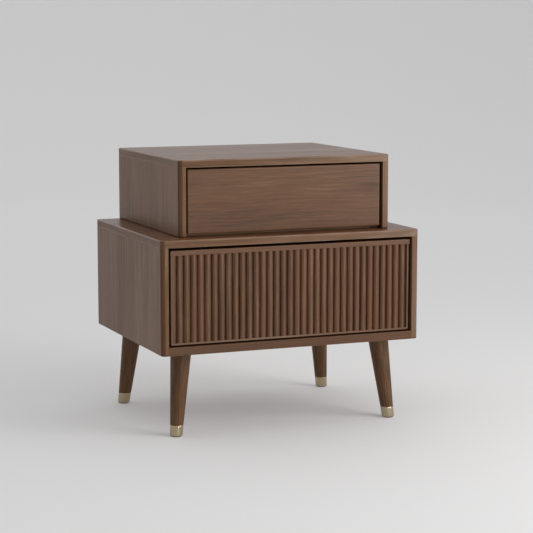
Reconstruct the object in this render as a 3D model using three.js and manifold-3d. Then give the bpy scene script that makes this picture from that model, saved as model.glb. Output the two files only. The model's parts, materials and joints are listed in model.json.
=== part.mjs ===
// Nightstand: a small drawer box standing on a larger one, on four splayed legs.
// Millimetres, +Z up, +X to the right, the drawer fronts face -Y. The origin is on the floor,
// under the middle of the lower box.
import * as THREE from "three";
import { mergeVertices } from "three/addons/utils/BufferGeometryUtils.js";
import Module from "manifold-3d";

const wasm = await Module();
wasm.setup();

// Lower box and upper box
const lowerWidth = 600;
const lowerDepth = 460;
const lowerHeight = 245;
const upperWidth = 492;
const upperHeight = 164;
const upperFrontSetback = 40;
const boardThickness = 16;
const lowerBottomThickness = 18;
const upperBottomThickness = 12;
const backThickness = 6;
const backInset = 10;
const frontCornerRadius = 8;
const rearCornerRadius = 4;
const topEdgeRadius = 2.6;

// Legs, ferrules and glides
const legHeight = 184;
const legSplay = 0.102; // sideways run per unit of height, the same to the side and to front or back
const legInsetSide = 66;
const legInsetFront = 68;
const legInsetBack = 60;
const legTopDiameter = 45.8;
const legAnkleDiameter = 29;
const ferruleHeight = 23;
const ferruleFootDiameter = 27.6;
const ferruleWall = 1.2;
const ferruleEdgeRadius = 1.2;
const glideThickness = 2;
const glideDiameter = 22;
const studDiameter = 8;
const studDepthInLeg = 28;
const studDepthInPanel = 13;

// Drawer fronts
const frontRecess = 4.5;
const frontSideGap = 4.8;
const lowerLeftGapExtra = 2; // added to the gap on the left of the lower front
const lowerFrontTopGap = 6.4;
const upperFrontTopGap = 4.2;
const lowerFrontBottomGap = 3;
const upperFrontBottomGap = 6;
const upperFrontThickness = 18;
const frontEdgeRadius = 1.2;
const coreThickness = 12;
const railHeight = 10.8;
const railDepth = 11.5;
const railOverhang = 1;
const stripWidth = 4.5;
const stripDepth = 9.5;
const flutePitch = 15.8;
const fluteGroove = 2.2; // flat bottom between two flutes
const fluteStart = 2.4; // further flat beside the right-hand edge strip
const fluteBase = 3.6;
const arcSteps = 8; // flat faces across one flute

// Drawer boxes
const drawerBoardThickness = 12;
const drawerBottomThickness = 5;
const drawerBottomLift = 10; // from the lower edge of a drawer side to its bottom board
const grooveDepth = 6;
const grooveClearance = 0.4;
const lowerDrawerFloorGap = 9;
const upperDrawerFloorGap = 5;
const lowerDrawerHeadroom = 31;
const upperDrawerHeadroom = 21;
const drawerRearSpace = 31; // from the back panel to the back of a drawer box

// Telescopic runners
const runnerSpace = 12.7; // between a drawer box and a cabinet side
const runnerHeight = 45;
const runnerSheet = 1.2;
const runnerFlange = 8;
const middleInset = 3.5; // from a member's flanges to those of the next one in
const runnerStepOut = 2.6; // how far the middle member's web stands off the cabinet member's outer face
const runnerLengthStep = 50; // runners come in lengths 50 mm apart
const pushInRoom = 5; // free space behind a drawer front, for pressing it in
const runnerLift = 0.36; // height of a runner's middle, as a share of the drawer box height

// Push latches
const latchTravel = 3;
const latchClearance = 0.3;
const latchBodyWidth = 20;
const latchBodyHeight = 24;
const latchBodyDepth = 22;
const latchWall = 4;
const plungerDiameter = 7.4;
const plungerWall = 1.2;
const plungerTipThickness = 3.7;
const plungerOverlap = 12; // how much of the plunger stays in its housing
const springWire = 0.6;
const springTurns = 7;

// Screws that hold the two boxes together
const joiningScrewDiameter = 5;
const joiningScrewHeadDiameter = 9;
const joiningScrewHeadHeight = 3;
const joiningScrewBite = 8;
const joiningScrewSpread = 0.3; // distance of each screw from the middle, as a share of the upper width

const fitGap = 0.3; // radial clearance of a pin in its bore

// Planes worked out from the sizes above
const lowerFront = -lowerDepth / 2;
const rearPlane = lowerDepth / 2;
const upperFront = lowerFront + upperFrontSetback;
const lowerTop = legHeight + lowerHeight;
const upperTop = lowerTop + upperHeight;
const backPanelRear = rearPlane - backInset;
const backPanelFront = backPanelRear - backThickness;
const drawerRear = backPanelFront - drawerRearSpace;

const colours = {
  walnut: { color: 0x6a5040, roughness: 0.55, metalness: 0 },
  walnutFront: { color: 0x674c3a, roughness: 0.55, metalness: 0 },
  walnutEdge: { color: 0x6a5a4c, roughness: 0.5, metalness: 0 },
  legWood: { color: 0x3d2c22, roughness: 0.4, metalness: 0 },
  brass: { color: 0xb3a078, roughness: 0.3, metalness: 1 },
  steel: { color: 0x9a9c9e, roughness: 0.35, metalness: 1 },
  blackPlastic: { color: 0x1c1b1a, roughness: 0.6, metalness: 0 },
  boxWood: { color: 0x8a6c52, roughness: 0.6, metalness: 0 },
};

const nightstand = new THREE.Group();
const drawers = { upper: new THREE.Group(), lower: new THREE.Group() };
nightstand.add(drawers.upper, drawers.lower);

// Adds a geometry as a named mesh with a material of its own.
function addPiece(parent, name, colour, geometry) {
  const mesh = new THREE.Mesh(geometry, new THREE.MeshStandardMaterial(colours[colour]));
  mesh.name = name;
  parent.add(mesh);
  return mesh;
}

// A box between two corners.
function block(x0, x1, y0, y1, z0, z1) {
  const box = new THREE.BoxGeometry(x1 - x0, y1 - y0, z1 - z0);
  return box.translate((x0 + x1) / 2, (y0 + y1) / 2, (z0 + z1) / 2);
}

// The geometry as a manifold-3d solid, with shared vertices merged.
function toSolid(geometry) {
  const bare = new THREE.BufferGeometry();
  bare.setAttribute("position", geometry.getAttribute("position").clone());
  bare.setIndex(geometry.getIndex());
  const merged = mergeVertices(bare, 1e-4);
  return new wasm.Manifold(
    new wasm.Mesh({
      numProp: 3,
      vertProperties: new Float32Array(merged.attributes.position.array),
      triVerts: new Uint32Array(merged.index.array),
    }),
  );
}

// What is left of a geometry after each cutter is taken away.
function cut(geometry, cutters) {
  const left = cutters.reduce((solid, cutter) => solid.subtract(toSolid(cutter)), toSolid(geometry));
  const mesh = left.getMesh();
  const result = new THREE.BufferGeometry();
  result.setAttribute("position", new THREE.BufferAttribute(new Float32Array(mesh.vertProperties), 3));
  result.setIndex(new THREE.BufferAttribute(new Uint32Array(mesh.triVerts), 1));
  result.computeVertexNormals();
  return result;
}

// A rectangle whose four corners each have their own radius, counter-clockwise from the lower left.
function roundedRectangle(x0, x1, y0, y1, radii) {
  const [lowLeft, lowRight, highRight, highLeft] = radii;
  const shape = new THREE.Shape();
  shape.moveTo(x0 + lowLeft, y0);
  shape.lineTo(x1 - lowRight, y0);
  if (lowRight > 0) shape.absarc(x1 - lowRight, y0 + lowRight, lowRight, -Math.PI / 2, 0);
  shape.lineTo(x1, y1 - highRight);
  if (highRight > 0) shape.absarc(x1 - highRight, y1 - highRight, highRight, 0, Math.PI / 2);
  shape.lineTo(x0 + highLeft, y1);
  if (highLeft > 0) shape.absarc(x0 + highLeft, y1 - highLeft, highLeft, Math.PI / 2, Math.PI);
  shape.lineTo(x0, y0 + lowLeft);
  if (lowLeft > 0) shape.absarc(x0 + lowLeft, y0 + lowLeft, lowLeft, Math.PI, Math.PI * 1.5);
  return shape;
}

// A flat outline in X and Y, raised from z0 to z1.
function raised(shape, z0, z1) {
  const options = { depth: z1 - z0, bevelEnabled: false, curveSegments: 5 };
  return new THREE.ExtrudeGeometry(shape, options).translate(0, 0, z0);
}

// A flat outline in X and Z, carried along Y from y0 to y1.
function carriedAlongY(shape, y0, y1) {
  const options = { depth: y1 - y0, bevelEnabled: false, curveSegments: 5 };
  return new THREE.ExtrudeGeometry(shape, options).rotateX(Math.PI / 2).translate(0, y1, 0);
}

// A turned piece: its profile gives radius and height, and starts and ends on the axis.
function turned(profile, segments) {
  const points = profile.map(([radius, height]) => new THREE.Vector2(radius, height));
  return new THREE.LatheGeometry(points, segments).rotateX(Math.PI / 2);
}

// A board that lies flat, with rounded corners and a rounded upper edge.
function topBoard(halfWidth, front, rear, z0, z1) {
  const f = frontCornerRadius;
  const r = rearCornerRadius;
  const outline = roundedRectangle(-halfWidth, halfWidth, front, rear, [f, f, r, r]);
  const edge = Math.min(topEdgeRadius, boardThickness / 3);
  const options = {
    depth: z1 - z0 - edge,
    bevelThickness: edge,
    bevelSize: edge * 0.98,
    bevelOffset: -edge * 0.98,
    bevelSegments: 3,
    curveSegments: 5,
  };
  const slab = new THREE.ExtrudeGeometry(outline, options).translate(0, 0, z0);
  const below = block(-halfWidth - 1, halfWidth + 1, front - 1, rear + 1, z0 - edge - 1, z0);
  return cut(slab, [below]);
}

// An upright side board on the left (side -1) or right (side 1), its outer corners rounded.
function sideBoard(side, halfWidth, front, rear, z0, z1) {
  const f = Math.min(frontCornerRadius, boardThickness * 0.9);
  const r = Math.min(rearCornerRadius, boardThickness * 0.9);
  const outline =
    side < 0
      ? roundedRectangle(-halfWidth, -halfWidth + boardThickness, front, rear, [f, 0, 0, r])
      : roundedRectangle(halfWidth - boardThickness, halfWidth, front, rear, [0, f, r, 0]);
  return raised(outline, z0, z1);
}

const sides = [
  { name: "left", x: -1 },
  { name: "right", x: 1 },
];

// ---- Where the legs stand ----
const legs = sides.flatMap((side) => [
  {
    name: `front_${side.name}`,
    x: side.x * (lowerWidth / 2 - legInsetSide),
    y: lowerFront + legInsetFront,
    leanX: side.x * legSplay,
    leanY: -legSplay,
  },
  {
    name: `back_${side.name}`,
    x: side.x * (lowerWidth / 2 - legInsetSide),
    y: rearPlane - legInsetBack,
    leanX: side.x * legSplay,
    leanY: legSplay,
  },
]);

// Leans an upright turned piece outwards: each level slides sideways, so that its ends stay level.
function leaned(geometry, leg) {
  const lean = new THREE.Matrix4().set(
    1, 0, -leg.leanX, leg.x + leg.leanX * legHeight,
    0, 1, -leg.leanY, leg.y + leg.leanY * legHeight,
    0, 0, 1, 0,
    0, 0, 0, 1,
  );
  return geometry.applyMatrix4(lean);
}

const studBoreRadius = studDiameter / 2 + fitGap;

// ---- Lower box ----
const lowerHalf = lowerWidth / 2;
const lowerInner = lowerHalf - boardThickness;
const lowerFloor = legHeight + lowerBottomThickness;
const lowerCeiling = lowerTop - boardThickness;

const joiningScrews = sides.map((side) => ({
  name: `joining_screw_${side.name}`,
  x: side.x * upperWidth * joiningScrewSpread,
  y: (upperFront + rearPlane) / 2,
}));

// The bore of one joining screw: a clearance hole with a wider recess for its head.
function joiningBore(screw) {
  const shank = joiningScrewDiameter / 2 + fitGap;
  const head = joiningScrewHeadDiameter / 2 + fitGap;
  const recess = lowerCeiling + joiningScrewHeadHeight + fitGap;
  const end = lowerTop + joiningScrewBite + fitGap;
  const profile = [
    [0, lowerCeiling - 1],
    [head, lowerCeiling - 1],
    [head, recess],
    [shank, recess],
    [shank, end],
    [0, end],
  ];
  return turned(profile, 20).translate(screw.x, screw.y, 0);
}

function buildLowerBox() {
  const board = topBoard(lowerHalf, lowerFront, rearPlane, lowerCeiling, lowerTop);
  addPiece(nightstand, "lower_top_panel", "walnut", cut(board, joiningScrews.map(joiningBore)));
  for (const side of sides) {
    const upright = sideBoard(side.x, lowerHalf, lowerFront, rearPlane, legHeight, lowerCeiling);
    addPiece(nightstand, `lower_${side.name}_side`, "walnut", upright);
  }
  const back = block(-lowerInner, lowerInner, backPanelFront, backPanelRear, lowerFloor, lowerCeiling);
  addPiece(nightstand, "lower_back_panel", "boxWood", back);
  const bottom = block(-lowerInner, lowerInner, lowerFront, rearPlane, legHeight, lowerFloor);
  const boreEnd = legHeight + studDepthInPanel + fitGap;
  const bores = legs.map((leg) => {
    const profile = [
      [0, legHeight - 1],
      [studBoreRadius, legHeight - 1],
      [studBoreRadius, boreEnd],
      [0, boreEnd],
    ];
    return leaned(turned(profile, 20), leg);
  });
  addPiece(nightstand, "lower_bottom_panel", "walnut", cut(bottom, bores));
}

// ---- Upper box ----
const upperHalf = upperWidth / 2;
const upperInner = upperHalf - boardThickness;
const upperFloor = lowerTop + upperBottomThickness;
const upperCeiling = upperTop - boardThickness;
const upperFrontBack = upperFront + frontRecess + upperFrontThickness;

function buildUpperBox() {
  const board = topBoard(upperHalf, upperFront, rearPlane, upperCeiling, upperTop);
  addPiece(nightstand, "upper_top_panel", "walnut", board);
  for (const side of sides) {
    const upright = sideBoard(side.x, upperHalf, upperFront, rearPlane, lowerTop, upperCeiling);
    addPiece(nightstand, `upper_${side.name}_side`, "walnut", upright);
  }
  const back = block(-upperInner, upperInner, backPanelFront, backPanelRear, lowerTop, upperCeiling);
  addPiece(nightstand, "upper_back_panel", "boxWood", back);
  const front = upperFrontBack + pushInRoom;
  const bottom = block(-upperInner, upperInner, front, backPanelFront, lowerTop, upperFloor);
  addPiece(nightstand, "upper_bottom_panel", "boxWood", cut(bottom, joiningScrews.map(joiningBore)));
  for (const screw of joiningScrews) {
    const headTop = lowerCeiling + joiningScrewHeadHeight;
    const profile = [
      [0, lowerCeiling + 0.5],
      [joiningScrewHeadDiameter / 2, lowerCeiling + 0.5],
      [joiningScrewDiameter / 2, headTop],
      [joiningScrewDiameter / 2, lowerTop + joiningScrewBite],
      [0, lowerTop + joiningScrewBite],
    ];
    const turnedScrew = turned(profile, 20).translate(screw.x, screw.y, 0);
    addPiece(nightstand, screw.name, "steel", turnedScrew);
  }
}

// ---- Legs ----
function buildLegs() {
  const ferruleTop = glideThickness + ferruleHeight;
  const ankle = legAnkleDiameter / 2;
  const foot = ferruleFootDiameter / 2;
  const cup = glideThickness + ferruleWall; // the inside floor of the ferrule
  const tenonTop = ankle - ferruleWall - fitGap;
  const tenonFoot = foot - ferruleWall - fitGap;
  const boreFloor = legHeight - studDepthInLeg;
  const legProfile = [
    [0, cup],
    [tenonFoot, cup],
    [tenonTop, ferruleTop],
    [ankle, ferruleTop],
    [legTopDiameter / 2, legHeight],
    [studBoreRadius, legHeight],
    [studBoreRadius, boreFloor],
    [0, boreFloor],
  ];
  const edge = ferruleEdgeRadius;
  const ferruleProfile = [
    [0, glideThickness],
    [foot - edge, glideThickness],
    [foot - edge * 0.3, glideThickness + edge * 0.3],
    [foot, glideThickness + edge],
    [ankle, ferruleTop],
    [ankle - ferruleWall, ferruleTop],
    [foot - ferruleWall, cup],
    [0, cup],
  ];
  const glideProfile = [
    [0, 0],
    [glideDiameter / 2, 0],
    [glideDiameter / 2, glideThickness],
    [0, glideThickness],
  ];
  const studProfile = [
    [0, boreFloor],
    [studDiameter / 2, boreFloor],
    [studDiameter / 2, legHeight + studDepthInPanel],
    [0, legHeight + studDepthInPanel],
  ];
  for (const leg of legs) {
    addPiece(nightstand, `leg_${leg.name}`, "legWood", leaned(turned(legProfile, 36), leg));
    addPiece(nightstand, `ferrule_${leg.name}`, "brass", leaned(turned(ferruleProfile, 36), leg));
    addPiece(nightstand, `glide_${leg.name}`, "blackPlastic", leaned(turned(glideProfile, 28), leg));
    addPiece(nightstand, `stud_${leg.name}`, "steel", leaned(turned(studProfile, 20), leg));
  }
}

// ---- Drawers ----
const drawerSpecs = {
  upper: {
    inner: upperInner,
    floor: upperFloor,
    ceiling: upperCeiling,
    boxFront: upperFrontBack,
    lowest: upperFloor + upperDrawerFloorGap,
    highest: upperCeiling - upperDrawerHeadroom,
  },
  lower: {
    inner: lowerInner,
    floor: lowerFloor,
    ceiling: lowerCeiling,
    boxFront: lowerFront + frontRecess + railDepth + coreThickness,
    lowest: lowerFloor + lowerDrawerFloorGap,
    highest: lowerCeiling - lowerDrawerHeadroom,
  },
};

// Two sides with a groove each, a bottom board held in the grooves, and a back that stands on it.
function buildDrawerBox(key) {
  const spec = drawerSpecs[key];
  const group = drawers[key];
  const outer = spec.inner - runnerSpace;
  const innerHalf = outer - drawerBoardThickness;
  const boardBase = spec.lowest + drawerBottomLift;
  const boardTop = boardBase + drawerBottomThickness;
  const groove = block(
    -innerHalf - grooveDepth, innerHalf + grooveDepth,
    spec.boxFront - 1, drawerRear + 1,
    boardBase, boardTop + grooveClearance,
  );
  for (const side of sides) {
    const x0 = side.x < 0 ? -outer : innerHalf;
    const x1 = side.x < 0 ? -innerHalf : outer;
    const plank = block(x0, x1, spec.boxFront, drawerRear, spec.lowest, spec.highest);
    addPiece(group, `${key}_drawer_${side.name}_side`, "boxWood", cut(plank, [groove]));
  }
  const boardHalf = innerHalf + grooveDepth - grooveClearance;
  const bottom = block(-boardHalf, boardHalf, spec.boxFront, drawerRear, boardBase, boardTop);
  addPiece(group, `${key}_drawer_bottom`, "boxWood", bottom);
  const backFront = drawerRear - drawerBoardThickness;
  const back = block(-innerHalf, innerHalf, backFront, drawerRear, boardTop, spec.highest);
  addPiece(group, `${key}_drawer_back`, "boxWood", back);
}

function buildUpperFront() {
  const half = upperInner - frontSideGap;
  const edge = frontEdgeRadius;
  const outline = roundedRectangle(
    -half, half,
    lowerTop + upperFrontBottomGap, upperCeiling - upperFrontTopGap,
    [edge, edge, edge, edge],
  );
  const face = upperFront + frontRecess;
  addPiece(drawers.upper, "upper_drawer_front", "walnutFront", carriedAlongY(outline, face, upperFrontBack));
}

// The outline of the fluted sheet, seen from above: half-round flutes side by side, counted from the
// right-hand end, so that the one at the left is cut narrower.
function flutedOutline(left, right, back) {
  const root = back - fluteBase;
  const radius = (flutePitch - fluteGroove) / 2;
  const width = right - left;
  const shape = new THREE.Shape();
  shape.moveTo(right, back);
  shape.lineTo(right, root);
  let endRise = 0;
  for (let middle = fluteStart + flutePitch / 2; middle - radius < width; middle += flutePitch) {
    for (let i = 0; i <= arcSteps; i += 1) {
      const angle = (Math.PI * i) / arcSteps;
      const fromRight = middle - radius * Math.cos(angle);
      if (fromRight < width) {
        shape.lineTo(right - fromRight, root - radius * Math.sin(angle));
      }
    }
    const across = Math.min(Math.abs(width - middle), radius);
    endRise = Math.sqrt(radius ** 2 - across ** 2);
  }
  shape.lineTo(left, root - endRise);
  shape.lineTo(left, back);
  return shape;
}

function buildLowerFront() {
  const group = drawers.lower;
  const right = lowerInner - frontSideGap;
  const left = -right + lowerLeftGapExtra;
  const low = lowerFloor + lowerFrontBottomGap;
  const high = lowerCeiling - lowerFrontTopGap;
  const face = lowerFront + frontRecess;
  const coreFace = face + railDepth;
  const coreBack = coreFace + coreThickness;
  addPiece(group, "lower_drawer_core", "walnut", block(left, right, coreFace, coreBack, low, high));
  const railLow = high - railHeight;
  const rail = block(left - railOverhang, right + railOverhang, face, coreFace, railLow, high);
  addPiece(group, "lower_drawer_top_rail", "walnutFront", rail);
  const stripFace = coreFace - stripDepth;
  const innerLeft = left + stripWidth;
  const innerRight = right - stripWidth;
  const innerLow = low + stripWidth;
  const strip = new THREE.Shape();
  strip.moveTo(left, low);
  strip.lineTo(right, low);
  strip.lineTo(right, railLow);
  strip.lineTo(innerRight, railLow);
  strip.lineTo(innerRight, innerLow);
  strip.lineTo(innerLeft, innerLow);
  strip.lineTo(innerLeft, railLow);
  strip.lineTo(left, railLow);
  addPiece(group, "lower_drawer_edge_strip", "walnutEdge", carriedAlongY(strip, stripFace, coreFace));
  const sheet = raised(flutedOutline(innerLeft, innerRight, coreFace), innerLow, railLow);
  addPiece(group, "lower_drawer_fluted_sheet", "walnutFront", sheet);
}

// ---- Runners: three steel channels, one inside the other, on each side of each drawer ----
// A channel's outline: its web stands at stand-off web, its flanges reach to stand-off reach.
function channelOutline(side, inner, level, web, reach, halfHeight) {
  const inside = web < reach ? web + runnerSheet : web - runnerSheet;
  const corners = [
    [web, -halfHeight],
    [reach, -halfHeight],
    [reach, -halfHeight + runnerSheet],
    [inside, -halfHeight + runnerSheet],
    [inside, halfHeight - runnerSheet],
    [reach, halfHeight - runnerSheet],
    [reach, halfHeight],
    [web, halfHeight],
  ];
  const points = corners.map(([off, z]) => new THREE.Vector2(side * (inner - off), level + z));
  return new THREE.Shape(points);
}

function buildRunners(key) {
  const spec = drawerSpecs[key];
  const level = spec.lowest + (spec.highest - spec.lowest) * runnerLift;
  const start = spec.boxFront + pushInRoom;
  const room = Math.min(backPanelFront - latchTravel - start, drawerRear - spec.boxFront);
  const length = Math.floor(room / runnerLengthStep) * runnerLengthStep;
  const end = start + length;
  const half = runnerHeight / 2;
  const nextHalf = half - middleInset;
  const lastHalf = nextHalf - middleInset;
  for (const side of sides) {
    const outline = (web, reach, height) => channelOutline(side.x, spec.inner, level, web, reach, height);
    const cabinet = outline(0, runnerFlange, half);
    const middle = outline(runnerStepOut, runnerStepOut + runnerFlange, nextHalf);
    const moving = outline(runnerSpace, runnerSpace - runnerFlange, lastHalf);
    const prefix = `${key}_${side.name}_runner`;
    addPiece(nightstand, `${prefix}_cabinet`, "steel", carriedAlongY(cabinet, start, end));
    addPiece(nightstand, `${prefix}_middle`, "steel", carriedAlongY(middle, start, end));
    addPiece(drawers[key], `${prefix}_drawer`, "steel", carriedAlongY(moving, spec.boxFront, end - pushInRoom));
  }
}

// ---- Push latches: a sprung plunger in a housing on the back panel ----
// A turned piece laid along Y: heights run backwards from the plunger's tip side.
function laidAlongY(profile, level, segments) {
  return turned(profile, segments).rotateX(-Math.PI / 2).translate(0, 0, level);
}

function buildLatch(key) {
  const spec = drawerSpecs[key];
  const level = (spec.lowest + spec.highest) / 2;
  const bore = plungerDiameter / 2 + fitGap;
  const rear = backPanelFront;
  const mouth = rear - latchBodyDepth;
  const boreEnd = rear - latchWall;
  const body = block(
    -latchBodyWidth / 2, latchBodyWidth / 2,
    mouth, rear,
    level - latchBodyHeight / 2, level + latchBodyHeight / 2,
  );
  const hole = laidAlongY([[0, mouth - 1], [bore, mouth - 1], [bore, boreEnd], [0, boreEnd]], level, 24);
  addPiece(nightstand, `${key}_latch_housing`, "blackPlastic", cut(body, [hole]));

  const tip = drawerRear + latchTravel + latchClearance;
  const tail = mouth + plungerOverlap;
  const outside = plungerDiameter / 2;
  const inside = outside - plungerWall;
  const plunger = [
    [0, tip],
    [outside - 1, tip],
    [outside, tip + 1],
    [outside, tail],
    [inside, tail],
    [inside, tip + plungerTipThickness],
    [0, tip + plungerTipThickness],
  ];
  addPiece(nightstand, `${key}_latch_plunger`, "blackPlastic", laidAlongY(plunger, level, 24));

  const springEnd = boreEnd - fitGap - springWire / 2;
  const springStart = tip + plungerTipThickness + latchTravel + fitGap + springWire / 2;
  const springRadius = inside - fitGap - springWire / 2;
  class Helix extends THREE.Curve {
    getPoint(t, target = new THREE.Vector3()) {
      const angle = t * springTurns * Math.PI * 2;
      const y = THREE.MathUtils.lerp(springStart, springEnd, t);
      return target.set(springRadius * Math.cos(angle), y, level + springRadius * Math.sin(angle));
    }
  }
  const wire = new THREE.Shape();
  wire.absarc(0, 0, springWire / 2, 0, Math.PI * 2);
  const options = { steps: springTurns * 12, extrudePath: new Helix(), curveSegments: 3 };
  addPiece(nightstand, `${key}_latch_spring`, "steel", new THREE.ExtrudeGeometry(wire, options));
}

buildLowerBox();
buildUpperBox();
buildLegs();
buildUpperFront();
buildLowerFront();
for (const key of Object.keys(drawerSpecs)) {
  buildDrawerBox(key);
  buildRunners(key);
  buildLatch(key);
}

export default nightstand;
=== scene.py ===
import json
import math

import bpy
import numpy as np
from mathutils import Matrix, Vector


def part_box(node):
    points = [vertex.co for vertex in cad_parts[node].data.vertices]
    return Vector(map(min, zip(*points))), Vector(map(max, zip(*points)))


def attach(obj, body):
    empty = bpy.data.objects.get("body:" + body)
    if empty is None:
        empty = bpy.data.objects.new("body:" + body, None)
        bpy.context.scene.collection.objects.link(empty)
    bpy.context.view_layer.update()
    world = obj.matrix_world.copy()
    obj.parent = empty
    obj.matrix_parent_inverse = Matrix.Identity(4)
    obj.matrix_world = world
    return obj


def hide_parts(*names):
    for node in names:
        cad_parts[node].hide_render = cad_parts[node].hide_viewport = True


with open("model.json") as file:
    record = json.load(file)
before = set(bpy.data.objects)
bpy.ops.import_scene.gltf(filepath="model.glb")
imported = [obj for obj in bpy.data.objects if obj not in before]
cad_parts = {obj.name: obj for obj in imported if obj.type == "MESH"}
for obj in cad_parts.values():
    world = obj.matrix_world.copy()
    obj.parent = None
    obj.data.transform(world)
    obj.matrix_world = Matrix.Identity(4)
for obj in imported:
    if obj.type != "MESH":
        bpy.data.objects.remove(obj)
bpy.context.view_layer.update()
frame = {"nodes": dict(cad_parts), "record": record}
mm = 0.001
bodyOf = {node: body for body, members in frame["record"]["behaviour"]["bodies"].items() for node in members}
chance = np.random.default_rng(41)  # gives each board its own place in the grain


# Node trees
def addNode(tree, kind, settings=None, **values):
    # A node with its settings and socket values. A value that is a socket is linked.
    node = tree.nodes.new(kind)
    for name, value in (settings or {}).items():
        setattr(node, name, value)
    for name, value in values.items():
        key = int(name[1:]) if name[0] == "i" and name[1:].isdigit() else name.replace("_", " ")
        socket = node.inputs[key]
        if isinstance(value, bpy.types.NodeSocket):
            tree.links.new(value, socket)
        else:
            socket.default_value = value
    return node


def newMaterial(name, colour, roughness, metallic=0.0):
    # A material with its Principled shader, whose sockets hold the values that are the same all over.
    material = bpy.data.materials.new(name)
    material.use_nodes = True
    shader = material.node_tree.nodes["Principled BSDF"]
    shader.inputs["Base Color"].default_value = (*colour, 1)
    shader.inputs["Roughness"].default_value = roughness
    shader.inputs["Metallic"].default_value = metallic
    material.diffuse_color = (*colour, 1)
    return material, material.node_tree, shader


def layer(tree, place, scale, detail=2.0, roughness=0.5):
    # Noise over a place vector, stretched by a scale for each direction, as a value about 0.5.
    mapped = addNode(tree, "ShaderNodeMapping", {"vector_type": "POINT"}, Vector=place, Scale=scale)
    noise = addNode(tree, "ShaderNodeTexNoise", {"noise_dimensions": "3D"}, Vector=mapped.outputs[0],
                    Scale=1.0, Detail=detail, Roughness=roughness)
    return noise.outputs[0]


def maths(tree, operation, a, b=0.0, c=0.0, clamp=False):
    # One step of arithmetic on sockets or numbers.
    node = addNode(tree, "ShaderNodeMath", {"operation": operation, "use_clamp": clamp}, i0=a, i1=b, i2=c)
    return node.outputs[0]


def spread(tree, value, low, high, toLow, toHigh):
    # A value between low and high, laid out straight between toLow and toHigh and held beyond them.
    node = addNode(tree, "ShaderNodeMapRange", {"clamp": True}, Value=value, From_Min=low, From_Max=high,
                   To_Min=toLow, To_Max=toHigh)
    return node.outputs[0]


def blendColours(tree, factor, a, b, mode="MIX"):
    # Colour a turning into colour b, or into a x b, as the factor goes from 0 to 1.
    node = tree.nodes.new("ShaderNodeMix")
    node.data_type = "RGBA"
    node.blend_type = mode
    for socket, value in ((node.inputs[0], factor), (node.inputs[6], a), (node.inputs[7], b)):
        if isinstance(value, bpy.types.NodeSocket):
            tree.links.new(value, socket)
        else:
            socket.default_value = value if isinstance(value, float) else (*value, 1)
    return node.outputs[2]


def toneRamp(tree, value, stops):
    # A colour looked up from a value between named stops.
    ramp = tree.nodes.new("ShaderNodeValToRGB")
    ramp.color_ramp.interpolation = "EASE"
    while len(ramp.color_ramp.elements) < len(stops):
        ramp.color_ramp.elements.new(0.5)
    for element, (place, colour) in zip(ramp.color_ramp.elements, stops):
        element.position = place
        element.color = (*colour, 1)
    tree.links.new(value, ramp.inputs[0])
    return ramp.outputs[0]


# Wood
# Colours are linear. Each layer of the grain has its features per metre along and across it, and its weight.
walnut = {
    "dark": (0.070, 0.031, 0.013),
    "mid": (0.125, 0.056, 0.024),
    "light": (0.180, 0.090, 0.044),
    "red": (0.152, 0.058, 0.026),
    "wornAndHighlight": (0.26, 0.15, 0.085),
    "drift": 0.012,
    "figure": (1.3, 15, 0.6),
    "streaks": (3.2, 240, 0.75),
    "fibres": (20, 1300, 0.4),
    "redBands": (0.9, 22, 0.45),
    "pores": (85, 2300, 0.45),
    "wander": (3.4, 9, 9),
    "paleEdgeNoiseScale": (14, 60, 60),
    "roughness": (0.27, 0.36),
    "wearAndHighlight": 0.3,
    "bump": 0.14,
    "specular": 0.27,
    "coat": 0.12,
    "shade": 1.0,
}
# The top boards' colours are raised so that the faces looking up are lighter, as if lit from above, and the
# other faces are multiplied back down: painted light.
walnutTop = {
    **walnut,
    "dark": (0.088, 0.036, 0.014),
    "mid": (0.160, 0.067, 0.028),
    "light": (0.235, 0.108, 0.051),
    "red": (0.190, 0.066, 0.027),
    "wornAndHighlight": (0.35, 0.212, 0.142),
    "streaks": (3.2, 260, 1.4),
    "wearAndHighlight": 0.95,
    "specular": 0.17,
    "coat": 0.02,
    "upperGloss": (0.25, 0.08),  # specular and coat of the faces that look up
    "paintedWallShade": (0.78, 0.89, 0.95),  # painted shade: the faces that do not look up are multiplied by this, so the top reads as lit from above
}
walnutSide = {
    **walnut,
    "dark": (0.070, 0.033, 0.014),
    "mid": (0.134, 0.064, 0.028),
    "light": (0.196, 0.104, 0.053),
    "wornAndHighlight": (0.27, 0.17, 0.10),
    "figure": (1.3, 15, 0.75),
    "streaks": (3.0, 270, 1.3),
    "fibres": (20, 1300, 0.5),
    "wearAndHighlight": 0.5,
    "specular": 0.16,
    "coat": 0.02,
    "shade": 2.0,
}
# A lighter copy of the side walnut for the upper left board, which falls in shade: painted light.
walnutSideUpper = {
    **walnutSide,
    "dark": (0.080, 0.039, 0.017),
    "mid": (0.154, 0.077, 0.035),
    "light": (0.222, 0.121, 0.063),
}
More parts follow.
